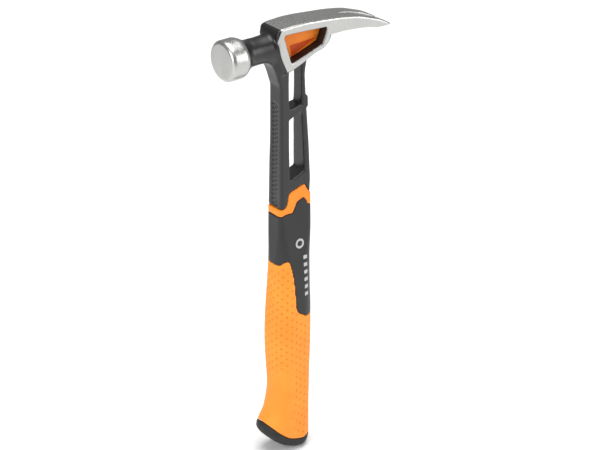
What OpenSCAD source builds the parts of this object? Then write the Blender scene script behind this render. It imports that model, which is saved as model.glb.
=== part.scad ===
// Claw hammer: one steel forging, elastomer inserts, shock sleeve, core, grip and butt cap.
// Z runs up the handle, the striking face looks toward -X, the claws reach toward +X.
// Units are millimetres. The origin is below the middle of the head's reach, level with the
// lowest point of the butt.

/* [Head] */
// Height of the head's highest point above the ground plane
head_top = 350; // [345:1:355]
// Width of the head block across the cheeks
head_w = 22; // [21:0.5:24]
// Diameter of the round striking bell
bell_d = 30; // [28:0.5:31]
// Distance from the handle axis to the striking face
face_reach = 58; // [55:0.5:62]
// Diameter of the round poll behind the bell
poll_d = 20; // [19:0.5:21.5]
// Width of the chamfer round the striking face
face_chamfer = 1.6; // [1:0.1:2.2]

/* [Claws] */
// Distance between the outer corners of the two claw tips
claw_spread = 25; // [24:0.5:26]
// Opening of the nail slot at the claw tips
slot_mouth = 10; // [8:0.5:11]
// Distance from the handle axis to the claw tips
claw_reach = 85.2; // [84:0.2:88]
// Distance from the handle axis to the root of the nail slot
slot_root = 43; // [40:1:48]

/* [Cheeks] */
// Depth of each cheek pocket
pocket_depth = 9; // [8.4:0.1:9.2]
// Thickness of each elastomer insert on the pocket floor
insert_t = 1.5; // [1:0.1:2]

/* [Neck] */
// Width of the neck frame's front face under the head
neck_w_front = 14.2; // [13:0.2:15]
// Width of the neck frame's back bar under the head
neck_w_back = 10.6; // [9.6:0.2:12]
// Radius of the window corners
window_r = 2; // [1.5:0.5:3]

/* [Handle] */
// Thickness of the tang inside the handle
tang_t = 6; // [5:0.2:7]
// Wall of the sleeve round the tang
sleeve_t = 1.6; // [1.2:0.1:2]
// Thickness of the soft grip over the core
grip_t = 3; // [2.4:0.1:3.6]
// Height of the butt cap's wall over its lowest point
cap_t = 9; // [8:0.5:10]

/* [Hidden] */
$fn = 48;
e = 0.01;
wide = 60;
axis_z = head_top - 16.9;
origin_x = (claw_reach - face_reach) / 2;
bell_r = bell_d / 2;
poll_r = poll_d / 2;
cheek_y = head_w / 2;
pocket_floor = cheek_y - pocket_depth;
neck_base = 207;
// The tang runs down inside the handle, between these distances from its axis.
tang_front = -9;
tang_back = 8;
tang_foot = 44;
// The sock of the sleeve ends under the collar.
sock_top = 205;

// Half section of the bell and poll: [radius, x].
bell_side = [[0, -face_reach], [bell_r - face_chamfer, -face_reach],
             [bell_r, -face_reach + face_chamfer], [bell_r, -44.5], [bell_r - 0.6, -43],
             [bell_r - 2, -41], [poll_r + 1.4, -38.5], [poll_r + 0.4, -36], [poll_r, -33],
             [poll_r, -12], [0, -12]];

// Side outlines lie in the XZ plane and are given as [x, z]. Those of the head count down
// from its top.
head_side = [[-16, -1.8], [-14.2, -1.1], [-12.5, -0.6], [-4, -0.1], [2, 0], [10, -0.3],
             [18, -1.1], [28, -2.1], [38, -3.2], [48, -4.8], [57, -6.7], [66, -9.7],
             [75.5, -13.3], [claw_reach, -18.6], [claw_reach - 0.8, -19.5], [78, -19.6],
             [72.4, -19.3], [61.6, -16.8], [47.7, -15.3], [33.9, -14.9], [30.8, -15.3],
             [29, -19.4], [24.9, -23], [15.9, -25.7], [2.5, -31.6], [-7.8, -34.7],
             [-10.9, -32.3], [-15.6, -19], [-17.3, -10.3], [-17.9, -7.4], [-17, -3.2]];
pocket_side = [[-10.9, -6.8], [-9.2, -5.9], [5.1, -6.5], [25.3, -7.8], [26.4, -8.9],
               [25.3, -13.2], [22.8, -18.8], [9.6, -23.8], [-3, -27.6], [-5.2, -26.9],
               [-6.4, -22.8], [-9, -14.6]];
recess_side = [[-1.3, -17.5], [20, -17], [20.5, -17.7], [11, -21.8], [1.4, -25.8], [0.4, -25.4]];
neck_side = [[-24, 330], [-20.5, 325], [-16.2, 317], [-13.8, 310.2], [-12, 304.2],
             [-11.7, 298], [-11.8, 286], [-12.4, 243], [-13.1, neck_base], [14.3, neck_base],
             [14.3, 216], [14.8, 226], [14.1, 256], [13, 280], [12.6, 281.3], [14.3, 283.5],
             [14.3, 290], [12.6, 292.5], [11.7, 308], [11.4, 326]];
// Centres of the round corners of each window.
upper_window = [[-1.6, 287.2], [6.3, 288.4], [6.3, 315], [-1.5, 311.8]];
lower_window = [[-2.3, 231.8], [7.3, 235.2], [6.3, 277.2], [-2, 274.8]];

// Neck sections: [z, front x, back x, half width in front, half width behind].
neck_corner = 1.4;
neck_stations = [[neck_base, -13.2, 15, 8.2, 7.8], [243, -12.5, 14.8, 7.8, 7],
                 [300, -11.8, 14.8, neck_w_front / 2, neck_w_back / 2],
                 [326, -24, 14.8, neck_w_front / 2, neck_w_back / 2]];

// Halves of the outlines that are alike on both sides: [half width, distance along].
head_plan = [[cheek_y - 0.8, -22], [cheek_y, -17], [cheek_y, 30], [cheek_y + 0.7, 60],
             [claw_spread / 2, 90]];
slot_plan = [[0, slot_root], [slot_mouth * 0.38, slot_root + 23], [slot_mouth / 2, 86],
             [slot_mouth / 2, 99]];

// Zig-zag edges of the visible collar, from the front to the back and back again.
collar_top = [[-40, 207.6], [-9, 207.8], [-7.5, 209.6], [-5.8, 217], [-3.9, 219.5],
              [8.1, 222.8], [11, 219], [13, 216.3], [15, 214.8], [40, 214.4]];
collar_foot = [[40, 205.2], [14, 205.6], [11.3, 208.1], [8.1, 212.3], [1.8, 210.2],
               [0.1, 207.1], [-2.2, 202.8], [-8.6, 202.9], [-40, 202.1]];

// Outline of the hard upper handle with its tongue, which stays clear of the soft grip.
tongue_side = [[-40, 161], [-14, 163], [-11.7, 164.3], [-8.7, 165.3], [-6.7, 163.1],
               [-4.6, 151], [-3.2, 127.5], [-1, 121.4], [3.3, 118.4], [40, 116.3],
               [40, 240], [-40, 240]];

// Underside of the butt cap from front to back, and the cap's upper edge from back to front.
butt_end = [[-40, 30.2], [-28, 19.2], [-20, 11.5], [-12, 5.5], [-4, 1.7], [1, 0.3], [5, 0],
            [8, 0.2], [12, 1.8], [16, 5.2], [20, 9.2]];
cap_edge = [[20, cap_t + 2], [12, cap_t + 0.8], [6.3, cap_t + 0.7], [2.8, cap_t + 0.3],
            [-4.2, cap_t + 1.9], [-11.2, cap_t + 5.1], [-19.4, cap_t + 12.1],
            [-25.6, cap_t + 18.7], [-40, cap_t + 32]];

// Handle sections: [z, front x, back x, half width, corner radius]. The grip starts at the fourth.
stations = [[226, -14, 15.3, 7.9, 2.4], [206, -14.2, 15.5, 8.1, 3.4], [186, -14.2, 15.5, 9.4, 5.6],
            [166, -15.2, 15.6, 11.2, 9], [146, -16.4, 15.7, 12.9, 11.4],
            [124, -18.1, 16.3, 14, 12.9], [100, -19.3, 16.3, 14, 13], [76, -18.8, 16, 13.5, 12.5],
            [58, -17.7, 15.3, 13.6, 12.6], [46, -18.5, 14.8, 13.9, 12.8],
            [34, -21.5, 14.4, 14, 12.8], [22, -28.4, 14.3, 14.1, 12.8],
            [16, -30.6, 14.3, 14.1, 12.8], [-8, -31, 14.2, 14, 12.8]];
grip_station = 3;

function back_to_front(line) = [for (i = [len(line) - 1 : -1 : 0]) line[i]];
function both_sides(half) = concat([for (p = half) [-p[0], p[1]]], back_to_front(half));

module side_cut(outline, z0 = 0) {
    translate([0, wide / 2, z0])
        rotate([90, 0, 0])
            linear_extrude(wide) polygon(outline);
}

module slice(s, inset, drop) {
    r = s[4] - min(inset, s[4] - 1);
    for (x = [s[1] + inset + r, s[2] - inset - r])
        for (y = [-(s[3] - inset - r), s[3] - inset - r])
            translate([x, y, s[0] - drop]) cylinder(r = r, h = e, $fn = 32);
}

module handle_body(inset, first = 0) {
    for (i = [first : len(stations) - 2])
        hull() {
            slice(stations[i], inset, e);
            slice(stations[i + 1], inset, 0);
        }
}

// Moves what is drawn about the handle's axis to the origin below the middle of the head.
module placed() {
    translate([-origin_x, 0, 0]) children();
}

module head_block() {
    intersection() {
        side_cut(head_side, head_top);
        translate([0, 0, head_top - wide]) rotate([0, 0, -90])
            linear_extrude(2 * wide) difference() {
                polygon(both_sides(head_plan));
                polygon(both_sides(slot_plan));
            }
    }
}

module neck_frame() {
    intersection() {
        side_cut(neck_side);
        hull() for (s = neck_stations, side = [-1, 1])
            for (p = [[s[1] + neck_corner, s[3]], [s[2] - neck_corner, s[4]]])
                translate([p[0], side * (p[1] - neck_corner), s[0]])
                    cylinder(r = neck_corner, h = e, $fn = 24);
        side_cut(concat(collar_top, [[40, head_top], [-40, head_top]]));
    }
}

module window(corners) {
    hull() for (c = corners)
        translate([c[0], wide / 2, c[1]])
            rotate([90, 0, 0]) cylinder(r = window_r, h = wide, $fn = 32);
}

module tang(grow) {
    translate([tang_front - grow, -tang_t / 2 - grow, tang_foot - grow])
        cube([tang_back - tang_front + 2 * grow, tang_t + 2 * grow, neck_base + 1 - tang_foot + grow]);
}

module forging() {
    color([0.3, 0.3, 0.31]) placed() difference() {
        union() {
            translate([0, 0, axis_z]) rotate([0, 90, 0]) rotate_extrude() polygon(bell_side);
            head_block();
            neck_frame();
            tang(0);
        }
        window(upper_window);
        window(lower_window);
        for (s = [-1, 1])
            translate([0, s * (pocket_floor + wide / 2), 0])
                side_cut(pocket_side, head_top);
    }
}

module cheek_insert(s) {
    color([0.96, 0.55, 0.16]) placed() intersection() {
        difference() {
            side_cut(pocket_side, head_top);
            translate([0, s * (pocket_floor + insert_t / 2 + wide / 2), 0])
                side_cut(recess_side, head_top);
        }
        translate([-wide / 2, s > 0 ? pocket_floor : -pocket_floor - insert_t, head_top - wide])
            cube([wide, insert_t, wide]);
    }
}

module cheek_insert_left() {
    cheek_insert(-1);
}

module cheek_insert_right() {
    cheek_insert(1);
}

module shock_sleeve() {
    color([0.96, 0.55, 0.16]) placed() difference() {
        union() {
            intersection() {
                handle_body(0);
                side_cut(concat(collar_top, collar_foot));
            }
            intersection() {
                tang(sleeve_t);
                side_cut([[-wide, 0], [wide, 0], [wide, sock_top], [-wide, sock_top]]);
            }
        }
        tang(0);
    }
}

module handle_core() {
    color([0.2, 0.2, 0.21]) placed() difference() {
        intersection() {
            union() {
                intersection() {
                    handle_body(0);
                    side_cut(tongue_side);
                }
                handle_body(grip_t);
            }
            side_cut(concat(cap_edge, back_to_front(collar_foot)));
        }
        tang(sleeve_t);
    }
}

module soft_grip() {
    color([0.97, 0.6, 0.24]) placed() difference() {
        intersection() {
            handle_body(0, grip_station);
            side_cut(concat(cap_edge, [[-40, 200], [40, 200]]));
        }
        handle_body(grip_t, grip_station - 1);
        side_cut(tongue_side);
    }
}

module butt_cap() {
    color([0.16, 0.16, 0.17]) placed() intersection() {
        handle_body(0, grip_station);
        side_cut(concat(butt_end, cap_edge));
    }
}

forging();
cheek_insert_left();
cheek_insert_right();
shock_sleeve();
handle_core();
soft_grip();
butt_cap();
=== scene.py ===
"""Claw hammer: soft-edged solids, procedural finishes and a plain studio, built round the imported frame.

Shapes are written as signed distances in millimetres, measured from the handle's axis (h, y, z), and
turned into meshes. Distances are negative inside."""

import math

import bpy
import numpy as np
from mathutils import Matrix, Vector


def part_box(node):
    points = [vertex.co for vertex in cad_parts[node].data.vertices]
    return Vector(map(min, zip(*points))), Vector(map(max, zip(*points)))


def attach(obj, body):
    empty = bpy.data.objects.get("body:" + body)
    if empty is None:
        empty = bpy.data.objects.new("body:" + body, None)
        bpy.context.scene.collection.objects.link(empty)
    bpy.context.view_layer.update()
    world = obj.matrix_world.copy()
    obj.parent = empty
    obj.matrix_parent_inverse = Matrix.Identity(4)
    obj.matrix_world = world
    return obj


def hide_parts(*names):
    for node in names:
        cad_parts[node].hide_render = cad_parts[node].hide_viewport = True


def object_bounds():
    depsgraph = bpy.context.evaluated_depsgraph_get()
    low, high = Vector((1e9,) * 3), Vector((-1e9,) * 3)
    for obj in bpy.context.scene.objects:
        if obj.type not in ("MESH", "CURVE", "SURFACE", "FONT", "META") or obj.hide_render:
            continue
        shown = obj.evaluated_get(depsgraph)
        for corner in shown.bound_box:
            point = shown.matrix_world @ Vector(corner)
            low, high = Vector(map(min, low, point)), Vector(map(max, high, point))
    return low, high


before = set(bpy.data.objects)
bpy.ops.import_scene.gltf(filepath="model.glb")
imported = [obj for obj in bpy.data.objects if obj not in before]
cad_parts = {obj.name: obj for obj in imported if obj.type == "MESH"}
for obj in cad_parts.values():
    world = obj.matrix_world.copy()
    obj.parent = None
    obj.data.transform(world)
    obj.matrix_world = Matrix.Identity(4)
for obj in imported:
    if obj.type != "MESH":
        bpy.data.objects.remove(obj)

import openvdb
from mathutils import Vector

cad_low, cad_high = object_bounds()
MM = 0.001

# Driving sizes, read from the frame.
forging_low, forging_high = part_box("forging")
FACE_REACH = 58.0
AXIS_X = forging_low.x / MM + FACE_REACH
TOP = round(forging_high.z / MM, 1)
TIP = forging_high.x / MM - AXIS_X
HEAD_HALF = 11.0
BELL_R = 14.96
POLL_R = 10.0
BELL_Z = TOP - 16.9
POLL_Z = TOP - 16
POCKET_FLOOR = 2.0
INSERT_T = 1.5
CAP_T = 9.0
GRIP_T = 3.0
SEAM = 0.16

# The tang and the sock of the sleeve round it: heights, wall and the gap the core leaves.
TANG_FOOT = 44
TANG_TOP = 209
SOCK_TOP = 205
SOCK_WALL = 1.6
SOCK_GAP = 0.1


# ---------------------------------------------------------------- distances

def smooth(points, steps=6):
    """Points on a Catmull-Rom curve through points, without the last one."""
    p = np.array([points[0]] + list(points) + [points[-1]], float)
    t = np.arange(steps)[:, None] / steps
    out = []
    for a, b, c, d in zip(p, p[1:], p[2:], p[3:]):
        out.append(0.5 * (2 * b + (c - a) * t + (2 * a - 5 * b + 4 * c - d) * t ** 2
                          + (3 * b - a - 3 * c + d) * t ** 3))
    return np.concatenate(out)


def outline(*runs, drop=0.0):
    """A closed outline of smooth runs that meet in corners, lowered from the head's top by drop."""
    ends = [r + [s[0]] for r, s in zip(runs, runs[1:] + runs[:1])]
    return np.concatenate([smooth(r) for r in ends]) + np.array([0.0, drop])


def polygon(shape, a, b):
    """Distance from (a, b) to a closed outline."""
    near = np.full(np.broadcast(a, b).shape, 1e9)
    inside = np.zeros(near.shape, bool)
    for (a0, b0), (a1, b1) in zip(shape, np.roll(shape, -1, 0)):
        ea, eb = a1 - a0, b1 - b0
        if ea * ea + eb * eb < 1e-12:
            continue
        t = np.clip(((a - a0) * ea + (b - b0) * eb) / (ea * ea + eb * eb), 0, 1)
        near = np.minimum(near, (a - a0 - t * ea) ** 2 + (b - b0 - t * eb) ** 2)
        inside ^= ((b0 > b) != (b1 > b)) & (a < a0 + (b - b0) * ea / (eb or 1e-9))
    return np.where(inside, -1, 1) * np.sqrt(near)


def both(a, b, r=0.0):
    """Where a and b overlap, with the edge between them rounded to radius r."""
    corner = np.hypot(np.maximum(a + r, 0), np.maximum(b + r, 0))
    return np.minimum(np.maximum(a, b), -r) + corner


def either(a, b, r=0.0):
    """a and b joined, with a fillet of radius r."""
    return -both(-a, -b, r)


def without(a, b, r=0.0):
    """a with b cut out, its edge rounded to radius r."""
    return both(a, -b, r)


def between(value, table):
    """Smooth value of a table of (position, value) at value."""
    table = sorted(table)
    fine = smooth(table, 12)
    fine = np.vstack([fine, table[-1]])
    return np.interp(value, fine[:, 0], fine[:, 1])


# ---------------------------------------------------------------- meshes

def mesh_of(name, field, low, high, cell, blur=0):
    """A mesh of the surface where field(h, y, z) is zero, inside the box low to high, in millimetres."""
    low, high = np.array(low, float), np.array(high, float)
    count = np.ceil((high - low) / cell).astype(int) + 1
    h, y, z = (low[i] + cell * np.arange(count[i]) for i in range(3))
    h, y, z = h[:, None, None], y[None, :, None], z[None, None, :]
    values = np.clip(field(h, y, z), -3 * cell, 3 * cell).astype(np.float32)
    values = np.broadcast_to(values, count).copy()
    for _ in range(blur):
        for axis in range(3):
            v = np.moveaxis(values, axis, 0)
            v[1:-1] = 0.5 * v[1:-1] + 0.25 * (v[2:] + v[:-2])
    grid = openvdb.FloatGrid(3 * cell)
    grid.copyFromArray(values)
    points, quads = grid.convertToQuads(isovalue=0.0)
    points = (points * cell + low + np.array([AXIS_X, 0, 0])) * MM
    mesh = bpy.data.meshes.new(name)
    mesh.from_pydata(points.tolist(), [], quads.tolist())
    mesh.update()
    mesh.shade_smooth()
    piece = bpy.data.objects.new(name, mesh)
    bpy.context.scene.collection.objects.link(piece)
    return piece


def attribute(piece, name, field):
    """Stores field(h, y, z) at every vertex of piece, for its material."""
    mesh = piece.data
    co = np.zeros(len(mesh.vertices) * 3, np.float32)
    mesh.vertices.foreach_get("co", co)
    h, y, z = (co.reshape(-1, 3) / MM - np.array([AXIS_X, 0, 0])).T
    values = np.asarray(field(h, y, z), np.float32)
    mesh.attributes.new(name, "FLOAT", "POINT").data.foreach_set("value", values)


# ---------------------------------------------------------------- the steel forging

# Side outlines are [h, z], measured down from the head's top where drop says so.
HEAD = outline(
    [[-16.9, -3.1], [-16, -1.8], [-14.2, -1.1], [-12.5, -0.6], [-4, -0.15], [2, -0.05], [10, -0.35],
     [18, -1.1], [28, -2.1], [38, -3.2], [48, -4.8], [57, -6.7], [66, -9.7], [75.5, -13.3]],
    [[TIP - 0.1, -18.6]],
    [[TIP - 0.9, -19.6], [78, -19.6]],
    [[72.4, -19.3], [61.6, -16.8], [47.7, -15.3], [33.9, -14.9], [30.8, -15.5], [29.4, -19],
     [24.9, -23], [15.9, -25.7], [2.5, -31.6], [-7.8, -34.7], [-10.9, -32.3], [-15.6, -19],
     [-17.3, -10.3], [-17.8, -7.4]],
    drop=TOP)
GROUND = outline(
    [[-13.6, 9]],
    [[-13.8, -1.2], [-17, -8.6], [-16.2, -12.8], [-14.6, -20], [-10, -31.2], [-7.6, -33.6],
     [2.9, -30.5], [16.1, -24.8], [25, -22], [28.6, -18.4], [30.2, -15]],
    [[40, -30], [100, -30], [100, 9]],
    drop=TOP)
POCKET = outline(
    [[-11.1, -7.6], [-10.5, -6.4], [-9.2, -5.9], [5.1, -6.5], [20.7, -7.6], [25.3, -7.8],
     [26.4, -8.9], [25.3, -13.2], [22.8, -18.8], [21.7, -19.8], [9.6, -23.8], [-3, -27.6],
     [-4.4, -27.5], [-5.4, -26.5], [-6.4, -22.8], [-9, -14.6]],
    drop=TOP)
RECESS = outline(
    [[-1.3, -17.5], [8.3, -17.3], [20, -17], [20.5, -17.7]],
    [[11, -21.8], [1.4, -25.8], [0.4, -25.4]],
    drop=TOP)
NECK = outline(
    [[-24, 330], [-20.5, 325], [-17.2, 319], [-15, 313.6], [-12.9, 306.9], [-11.9, 303.6],
     [-11.7, 298], [-11.75, 290], [-11.95, 265], [-12.4, 243], [-12.8, 218]],
    [[-13.1, 200]],
    [[13.9, 200], [14.2, 216], [14.8, 226], [14.4, 242], [14.1, 256], [13.6, 267], [12.95, 280]],
    [[12.6, 281.3], [14.2, 282.9], [14.3, 284.2], [14.3, 289.6], [14, 290.9], [12.5, 292.4]],
    [[12.2, 296], [11.7, 308], [11.4, 331]])
UPPER_WINDOW = outline(
    [[-3.9, 287.6], [-3.5, 285.9], [-1.6, 285.1], [2.7, 285.3], [6.6, 286.1], [8.2, 288.3]],
    [[8.3, 315], [6.6, 317], [-2, 313.8], [-3.5, 312]])
LOWER_WINDOW = outline(
    [[-4.4, 231.8], [-4, 230], [-2, 229.5], [3.5, 231.1], [7.3, 232.6], [9.2, 234], [9.5, 236.4]],
    [[8.4, 276.6], [7.8, 278.9], [5.8, 279.5], [-1.6, 277.2], [-3.6, 276], [-4, 274]])
COLLAR_TOP = smooth([[-40, 207.6], [-13.5, 207.6], [-9.5, 208.1], [-7.6, 209.6], [-6.7, 212.6],
                     [-5.8, 217], [-3.9, 219.5], [2, 221.2], [8, 222.8], [9.6, 221.8], [11, 219],
                     [13, 216.3], [15, 214.8], [40, 214.4]])
COLLAR_FOOT = smooth([[-40, 202], [-13.8, 202.1], [-8.6, 202.9], [-3.4, 202.6], [-2, 203.4],
                      [0.1, 207.1], [1.8, 210.2], [4, 211.3], [7.4, 212.4], [8.8, 211.6],
                      [11.3, 208.1], [14, 205.6], [40, 205.2]])
TONGUE = smooth([[-40, 161.8], [-15.6, 162], [-13, 163.3], [-10.2, 165], [-8.6, 165.3], [-7.1, 163.4],
                 [-5.7, 157], [-4.6, 150], [-3.7, 138], [-3.2, 127.4], [-2.4, 123.4], [-0.6, 120.8],
                 [3.2, 118.3], [8.8, 116.2], [40, 115]])
BUTT_END = smooth([[-40, 30.3], [-28, 19.3], [-20, 11.6], [-12, 5.6], [-4, 1.8], [1, 0.5], [5, 0.12],
                   [8, 0.4], [12, 2], [16, 5.4], [20, 9.4], [40, 24]])
CAP_EDGE = smooth([[-40, CAP_T + 32], [-25.4, CAP_T + 18.5], [-19.4, CAP_T + 12.1],
                   [-11.2, CAP_T + 5.1], [-4.2, CAP_T + 1.9], [2.8, CAP_T + 0.3], [6.3, CAP_T + 0.7],
                   [12, CAP_T + 0.8], [20, CAP_T + 2], [40, CAP_T + 4]])

BELL = [(-FACE_REACH, BELL_R - 1.9), (-57.2, BELL_R - 0.9), (-56.0, BELL_R - 0.15), (-54.5, BELL_R),
        (-50, BELL_R), (-46.4, BELL_R - 0.05), (-44.6, BELL_R - 0.5), (-42.6, BELL_R - 1.6),
        (-40.4, BELL_R - 3.2), (-38.4, BELL_R - 4.2), (-36, BELL_R - 4.8), (-33, POLL_R),
        (-28, POLL_R - 0.1), (-20, POLL_R + 0.2), (-12, POLL_R + 0.4)]
NECK_FRONT_HALF = [(195, 8.2), (218, 8.1), (243, 7.8), (256, 7.45), (290, 7.2), (305, 7.05), (330, 7)]
NECK_BACK_HALF = [(195, 7.8), (218, 7.7), (243, 7.1), (258, 6.5), (269, 6.1), (297, 5.3), (330, 5.1)]
HEAD_PLAN = [(-40, HEAD_HALF - 0.5), (-18, HEAD_HALF - 0.3), (-12, HEAD_HALF), (30, HEAD_HALF),
             (60, HEAD_HALF + 0.6), (TIP, HEAD_HALF + 1.2), (99, HEAD_HALF + 1.4)]
SLOT = [(30, -3.0), (43, -0.1), (48, 1.0), (66, 3.9), (TIP, 5.1), (99, 5.8)]


def above(line, h, z):
    """Height of z over a line that runs along h."""
    return z - np.interp(h, line[:, 0], line[:, 1])


def over(line, h, z):
    """About the shortest distance over a line that slopes by up to 45 degrees."""
    return above(line, h, z) * np.interp(h, [-20, 0], [0.74, 0.97])


def neck_strip(h, y, z):
    """Depth of the ribbed strip down the neck's front face."""
    panel = both(abs(y) - 3.7, abs(z - 250) - 41, 1.2)
    rows = np.cos((z + 1.1 * np.sign(y) * (abs(y) > 1.2)) * 2 * math.pi / 3.4)
    ribs = np.clip(rows * 2.5, -1, 1) * np.clip((abs(abs(y) - 1.25) - 0.35) * 3, 0, 1)
    return np.clip(-panel * 1.6, 0, 1) * (0.45 - 0.35 * ribs) * (h < -6)


def forging_field(h, y, z):
    width = abs(y)
    axis = np.interp(h, [-44, -34], [BELL_Z, POLL_Z])
    bell = both(np.hypot(y, z - axis) - between(h, BELL), -FACE_REACH - h, 0.4)
    bell = both(bell, h + 12.0)
    head = both(polygon(HEAD, h, z), width - between(h, HEAD_PLAN), 1.3)
    head = without(head, width - between(h, SLOT), 0.7)
    back = np.clip((h + 12) / 20.4, 0, 1)
    half = (1 - back) * between(z, NECK_FRONT_HALF) + back * between(z, NECK_BACK_HALF)
    neck = both(polygon(NECK, h, z), width - half, 1.4) + neck_strip(h, y, z)
    body = either(bell, head, 2.5)
    body = either(body, neck, 1 + 3 * np.clip((-h - 3) / 5, 0, 1))
    pocket = both(polygon(POCKET, h, z), POCKET_FLOOR - width, 0.4)
    body = without(body, pocket, 0.35)
    windows = np.minimum(polygon(UPPER_WINDOW, h, z), polygon(LOWER_WINDOW, h, z))
    body = without(body, windows, 0.8)
    body = both(body, SEAM - above(COLLAR_TOP, h, z), 0.3)
    return either(body, bar(h, y, z, TANG_FOOT, TANG_TOP))


def bare_steel(h, y, z):
    """Above zero where the coat is ground off: the bell, and the head's top, cheeks and claws."""
    bell = -43.2 - h
    head = np.minimum(-polygon(GROUND, h, z), polygon(POCKET, h, z) - 0.25)
    return np.maximum(bell, head)


def bar(h, y, z, foot, top, grow=0.0):
    """The tang inside the handle from foot to top, or a bar grown round it."""
    section = both(abs(h + 0.5) - 8.5 - grow, abs(y) - 3 - grow, 0.8)
    return both(section, abs(z - (foot + top) / 2) - (top - foot) / 2)


# ---------------------------------------------------------------- the handle

# Each table gives a size of the handle's section at a height: [z, millimetres].
FRONT = [(-10, -31), (16, -30.6), (22, -28.4), (33, -21.9), (39, -20.1), (46, -18.5), (54, -17.7),
         (62, -17.9), (76, -18.8), (92, -19.4), (108, -19.1), (126, -18), (146, -16.4), (166, -15.2),
         (186, -14.2), (206, -14.1), (226, -14)]
BACK = [(-10, 14.2), (20, 14.3), (39, 14.5), (60, 15.4), (76, 16), (92, 16.3), (124, 16.3), (140, 15.7),
        (179, 15.5), (205, 15.5), (226, 15.2)]
HALF = [(-10, 14.0), (20, 14.1), (46, 13.9), (70, 13.4), (100, 14.0), (122, 14.0), (146, 12.9),
        (166, 11.2), (186, 9.4), (206, 8.1), (226, 7.9)]
CORNER = [(-10, 12.8), (46, 12.8), (100, 13.0), (122, 12.9), (146, 11.4), (166, 9.0), (186, 4.6),
          (206, 2.9), (226, 2.3)]
DIMPLE_ROWS = 6.0
DIMPLE_COLUMNS = 26
DIMPLE_STEP = 3.9
DIMPLE_R = 1.1
DIMPLE_DEPTH = 0.7


def handle_field(h, y, z):
    front, back = between(z, FRONT), between(z, BACK)
    half, corner = between(z, HALF), between(z, CORNER)
    a = abs(h - (front + back) / 2) - ((back - front) / 2 - corner)
    b = abs(y) - (half - corner)
    return np.hypot(np.maximum(a, 0), np.maximum(b, 0)) + np.minimum(np.maximum(a, b), 0) - corner


def dimples(h, y, z):
    """Depth of the dimples moulded into the grip, in staggered columns."""
    centre = (between(z, FRONT) + between(z, BACK)) / 2
    turn = np.arctan2(y / 14.0, -(h - centre) / 16.5) * DIMPLE_COLUMNS / (2 * math.pi)
    column = np.round(turn)
    row = z / DIMPLE_ROWS + 0.5 * (column % 2)
    across = (turn - column) * DIMPLE_STEP
    along = (row - np.round(row)) * DIMPLE_ROWS
    depth = np.clip(1 - (across ** 2 + along ** 2) / DIMPLE_R ** 2, 0, 1)
    return DIMPLE_DEPTH * depth * dimpled(h, y, z)


def dimpled(h, y, z):
    """1 where the grip has dimples, falling to 0 round the bare waist in front."""
    upper = np.clip((z - 78 - 0.9 * h) / 12, 0, 1)
    side = np.clip((h + 9) / 5, 0, 1)
    edge = np.clip((-above(TONGUE, h, z) - 3) / 2, 0, 1) * np.clip((over(CAP_EDGE, h, z) - 3) / 2, 0, 1)
    return np.maximum(upper, side) * edge


def sleeve_field(h, y, z):
    collar = both(above(COLLAR_TOP, h, z) + SEAM, SEAM - above(COLLAR_FOOT, h, z), 0.5)
    outer = both(handle_field(h, y, z), collar, 0.5)
    sock = bar(h, y, z, TANG_FOOT - SOCK_WALL, SOCK_TOP, SOCK_WALL)
    return without(either(outer, sock), bar(h, y, z, TANG_FOOT, TANG_TOP, SOCK_GAP))


def core_field(h, y, z):
    upper = both(handle_field(h, y, z), SEAM - above(TONGUE, h, z), 0.5)
    body = either(upper, handle_field(h, y, z) + GRIP_T + 0.2)
    body = both(body, above(COLLAR_FOOT, h, z) + SEAM, 0.5)
    body = both(body, 0.2 - over(CAP_EDGE, h, z))
    wall = SOCK_WALL + SOCK_GAP
    body = without(body, bar(h, y, z, TANG_FOOT - wall, 220, wall))
    return body + marks(h, y, z)


def marks(h, y, z):
    """Depth of the plain ring and short bars pressed into the sides of the hard handle."""
    ring = abs(np.hypot(h - 2.6, z - 177) - 3.0) - 0.9
    bars = both(abs(h - 6.8) - 1.8, abs(abs(z - 150) % 6 - 3) - 1.5)
    bars = both(bars, abs(z - 150) - 17)
    return 0.2 * np.clip(-np.minimum(ring, bars) * 3, 0, 1) * (abs(y) > 4)


def grip_field(h, y, z):
    outer = handle_field(h, y, z) + dimples(h, y, z)
    skin = both(outer, -(handle_field(h, y, z) + GRIP_T))
    skin = both(skin, above(TONGUE, h, z) + SEAM, 0.6)
    return both(skin, SEAM - over(CAP_EDGE, h, z), 0.6)


def cap_field(h, y, z):
    lower = both(handle_field(h, y, z), -over(BUTT_END, h, z), 7.0)
    return both(lower, over(CAP_EDGE, h, z) + SEAM, 0.6)


def insert_field(h, y, z, side):
    depth = side * y - POCKET_FLOOR
    plate = both(polygon(POCKET, h, z) + 0.25, abs(depth - INSERT_T / 2) - INSERT_T / 2, 0.3)
    recess = both(polygon(RECESS, h, z), INSERT_T * 0.3 - depth, 0.2)
    return without(plate, recess, 0.25)


def recess_painted_shade(h, y, z):
    """Above zero inside the recess of an insert, where a darker red is painted on as shade in the recess.
    """
    return -polygon(RECESS, h, z)


def dimple_painted_shade(h, y, z):
    """Above zero deep inside the grip's dimples, where a darker orange is painted on as shade."""
    return dimples(h, y, z) * 0.5 - 0.14


def mark_tone(h, y, z):
    """Above zero where the hard handle's marks are filled with a light tone."""
    return marks(h, y, z) * 10 - 0.8


# ---------------------------------------------------------------- finishes

def finish_nodes(name):
    """A new material, its node tree and its Principled shader."""
    made = bpy.data.materials.new(name)
    made.use_nodes = True
    tree = made.node_tree
    shader = tree.nodes["Principled BSDF"]
    return made, tree, shader


def node(tree, kind, **values):
    """A new node, with each value set on the input of that name or else on the node itself."""
    made = tree.nodes.new(kind)
    for key, value in values.items():
        if key in made.inputs:
            made.inputs[key].default_value = value
        else:
            setattr(made, key, value)
    return made


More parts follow.
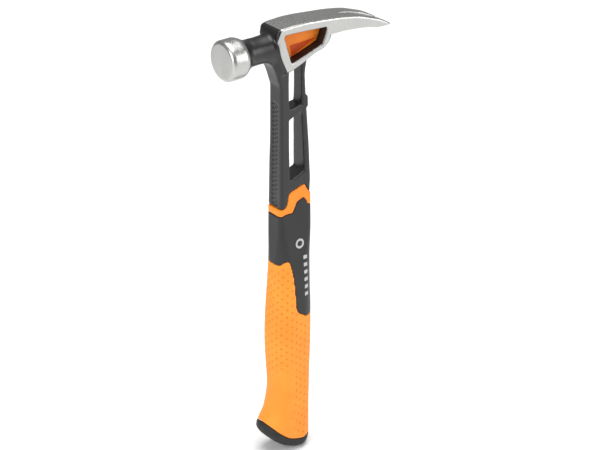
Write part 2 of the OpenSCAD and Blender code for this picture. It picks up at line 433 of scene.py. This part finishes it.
def noise(tree, scale, stretch=(1, 1, 1), detail=4.0, roughness=0.55):
    """Fractal noise in the piece's own metres, stretched along an axis."""
    place = node(tree, "ShaderNodeTexCoord")
    mapping = node(tree, "ShaderNodeMapping")
    mapping.inputs["Scale"].default_value = stretch
    made = node(tree, "ShaderNodeTexNoise", Scale=scale, Detail=detail, Roughness=roughness)
    tree.links.new(place.outputs["Object"], mapping.inputs["Vector"])
    tree.links.new(mapping.outputs["Vector"], made.inputs["Vector"])
    return made.outputs["Fac"]


def ramp(tree, value, low, high, start, end):
    """value from low..high turned into start..end."""
    made = node(tree, "ShaderNodeMapRange")
    for key, number in zip(("From Min", "From Max", "To Min", "To Max"), (low, high, start, end)):
        made.inputs[key].default_value = number
    tree.links.new(value, made.inputs["Value"])
    return made.outputs["Result"]


def blend_colours(tree, factor, first, second):
    made = node(tree, "ShaderNodeMix", data_type="RGBA")
    for key, colour in ((6, first), (7, second)):
        if isinstance(colour, tuple):
            made.inputs[key].default_value = (*colour, 1)
        else:
            tree.links.new(colour, made.inputs[key])
    tree.links.new(factor, made.inputs["Factor"])
    return made.outputs[2]


def blend_values(tree, factor, first, second):
    made = node(tree, "ShaderNodeMix", data_type="FLOAT")
    for key, value in ((2, first), (3, second)):
        if isinstance(value, float):
            made.inputs[key].default_value = value
        else:
            tree.links.new(value, made.inputs[key])
    tree.links.new(factor, made.inputs["Factor"])
    return made.outputs[0]


def bump(tree, shader, height, distance):
    made = node(tree, "ShaderNodeBump", Strength=1.0, Distance=distance)
    tree.links.new(height, made.inputs["Height"])
    tree.links.new(made.outputs["Normal"], shader.inputs["Normal"])


def forged_steel():
    """Satin black coat, with ground bare steel where the attribute bare is above zero."""
    made, tree, shader = finish_nodes("forged_steel")
    bare = node(tree, "ShaderNodeAttribute", attribute_name="bare")
    mask = ramp(tree, bare.outputs["Fac"], -0.12, 0.12, 0.0, 1.0)
    cloud = noise(tree, 60, detail=3.0)
    lines = noise(tree, 700, (1, 1, 0.05), detail=2.0)
    grain = noise(tree, 2600, detail=2.0)
    steel = blend_colours(tree, cloud, (0.42, 0.42, 0.41), (0.50, 0.50, 0.485))
    coat = blend_colours(tree, cloud, (0.004, 0.004, 0.0045), (0.008, 0.008, 0.0085))
    tree.links.new(blend_colours(tree, mask, coat, steel), shader.inputs["Base Color"])
    tree.links.new(mask, shader.inputs["Metallic"])
    rough_steel = ramp(tree, lines, 0.3, 0.7, 0.24, 0.40)
    rough_coat = ramp(tree, grain, 0.3, 0.7, 0.26, 0.40)
    tree.links.new(blend_values(tree, mask, rough_coat, rough_steel), shader.inputs["Roughness"])
    bump(tree, shader, blend_values(tree, mask, grain, lines), 0.00003)
    return made


def moulded(name, dark, light, rough, grain=1500, depth=0.00004, print_and_painted_shade=None):
    """A moulded skin: two close tones, a fine grain, uneven gloss, and a second colour where tone is above
    zero: light print on the hard handle, painted shade in the insert's recess and the grip's dimples.
    """
    made, tree, shader = finish_nodes(name)
    cloud = noise(tree, 45, detail=4.0)
    fine = noise(tree, grain, detail=3.0)
    tone = blend_colours(tree, ramp(tree, cloud, 0.3, 0.7, 0.0, 1.0), dark, light)
    if print_and_painted_shade:
        place = node(tree, "ShaderNodeAttribute", attribute_name="tone")
        mask = ramp(tree, place.outputs["Fac"], -0.1, 0.1, 0.0, 1.0)
        tone = blend_colours(tree, mask, tone, print_and_painted_shade)
    tree.links.new(tone, shader.inputs["Base Color"])
    tree.links.new(ramp(tree, fine, 0.3, 0.7, rough - 0.07, rough + 0.07), shader.inputs["Roughness"])
    shader.inputs["Specular IOR Level"].default_value = 0.35
    bump(tree, shader, fine, depth)
    return made


# ---------------------------------------------------------------- the pieces

def settle(piece, material, slot, *nodes):
    """Gives a piece its finish and its body, and hides the CAD nodes that it stands for."""
    piece.data.materials.append(material)
    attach(piece, "root")
    if nodes:
        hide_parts(*nodes)
    return piece


STEEL = forged_steel()
# The insert's darker red is painted shade inside its recess.
INSERT_ORANGE = moulded("insert_orange", (0.86, 0.20, 0.008), (0.93, 0.24, 0.012), 0.5,
                        print_and_painted_shade=(0.62, 0.07, 0.002))
SLEEVE_ORANGE = moulded("sleeve_orange", (0.86, 0.22, 0.008), (0.93, 0.26, 0.012), 0.5)
CORE_BLACK = moulded("core_black", (0.014, 0.014, 0.015), (0.020, 0.020, 0.021), 0.45,
                     print_and_painted_shade=(0.45, 0.45, 0.45))
# The grip's darker orange is painted shade deep in its dimples.
GRIP_ORANGE = moulded("grip_orange", (0.86, 0.25, 0.018), (0.94, 0.30, 0.028), 0.6, 1900, 0.00006,
                      print_and_painted_shade=(0.74, 0.19, 0.016))
CAP_BLACK = moulded("cap_black", (0.010, 0.010, 0.011), (0.016, 0.016, 0.017), 0.6)

CELL = 0.6
forging = mesh_of("forging_body", forging_field, (-60, -15.8, 42), (TIP + 2, 15.8, TOP + 2), CELL, 1)
attribute(forging, "bare", bare_steel)
settle(forging, STEEL, "forged_steel", "forging")

for side, label in ((-1, "left"), (1, "right")):
    y_low = min(side * 1.4, side * 4.6)
    insert = mesh_of("insert_" + label, lambda h, y, z: insert_field(h, y, z, side),
                     (-14, y_low, TOP - 30), (28, y_low + 3.2, TOP - 3), 0.3)
    # The insert's recess gets its painted shade through the tone attribute.
    attribute(insert, "tone", recess_painted_shade)
    settle(insert, INSERT_ORANGE, "insert_orange", "cheek_insert_" + label)

sleeve = mesh_of("sleeve_collar", sleeve_field, (-18, -10, 40), (20, 10, 226), CELL)
settle(sleeve, SLEEVE_ORANGE, "sleeve_orange", "shock_sleeve")
core = mesh_of("core_body", core_field, (-34, -16, 4), (20, 16, 216), CELL)
attribute(core, "tone", mark_tone)
settle(core, CORE_BLACK, "core_black", "handle_core")
grip = mesh_of("grip_skin", grip_field, (-36, -16, 2), (20, 16, 168), CELL)
# The grip's dimples get their painted shade through the tone attribute.
attribute(grip, "tone", dimple_painted_shade)
settle(grip, GRIP_ORANGE, "grip_orange", "soft_grip")
cap = mesh_of("cap_body", cap_field, (-38, -16, -6), (20, 16, 36), CELL)
settle(cap, CAP_BLACK, "cap_black", "butt_cap")


# ---------------------------------------------------------------- the studio

def studio_floor():
    mesh = bpy.data.meshes.new("floor")
    size = 12.0
    mesh.from_pydata([(-size, -size, 0), (size, -size, 0), (size, size, 0), (-size, size, 0)], [],
                     [(0, 1, 2, 3)])
    floor = bpy.data.objects.new("floor", mesh)
    bpy.context.scene.collection.objects.link(floor)
    made, tree, shader = finish_nodes("floor_paint")
    shader.inputs["Base Color"].default_value = (0.9, 0.9, 0.9, 1)
    shader.inputs["Roughness"].default_value = 0.9
    mesh.materials.append(made)
    floor.location.z = cad_low.z - 0.0002


def softbox(name, place, aim, size, watts):
    light = bpy.data.lights.new(name, "AREA")
    light.shape = "RECTANGLE"
    light.size, light.size_y = size
    light.energy = watts
    made = bpy.data.objects.new(name, light)
    made.location = place
    made.rotation_euler = (Vector(aim) - Vector(place)).to_track_quat("-Z", "Y").to_euler()
    bpy.context.scene.collection.objects.link(made)


studio_floor()
middle = (cad_low + cad_high) / 2
softbox("overhead", (0.1, 0.0, 2.4), middle, (2.0, 2.0), 60)
softbox("right", (1.7, -1.7, 0.9), middle, (1.4, 1.4), 24)
softbox("left", (-1.7, -0.5, 0.9), middle, (0.7, 1.2), 20)

world = bpy.data.worlds.new("studio")
world.use_nodes = True
world.node_tree.nodes["Background"].inputs["Color"].default_value = (1, 1, 1, 1)
world.node_tree.nodes["Background"].inputs["Strength"].default_value = 0.36
bpy.context.scene.world = world
bpy.context.scene.view_settings.view_transform = "Standard"

AZIMUTH, ELEVATION, DISTANCE = math.radians(-37.8), math.radians(26.93), 1.5
target = Vector((AXIS_X + 10.55, 0, 185.75)) * MM
back = Vector((math.sin(AZIMUTH) * math.cos(ELEVATION), -math.cos(AZIMUTH) * math.cos(ELEVATION),
               math.sin(ELEVATION)))
lens = bpy.data.cameras.new("camera")
lens.sensor_width = 36
lens.lens = 36 * 2023.2 / 600
camera = bpy.data.objects.new("camera", lens)
camera.location = target + back * DISTANCE
camera.rotation_euler = (-back).to_track_quat("-Z", "Y").to_euler()
bpy.context.scene.collection.objects.link(camera)
bpy.context.scene.camera = camera
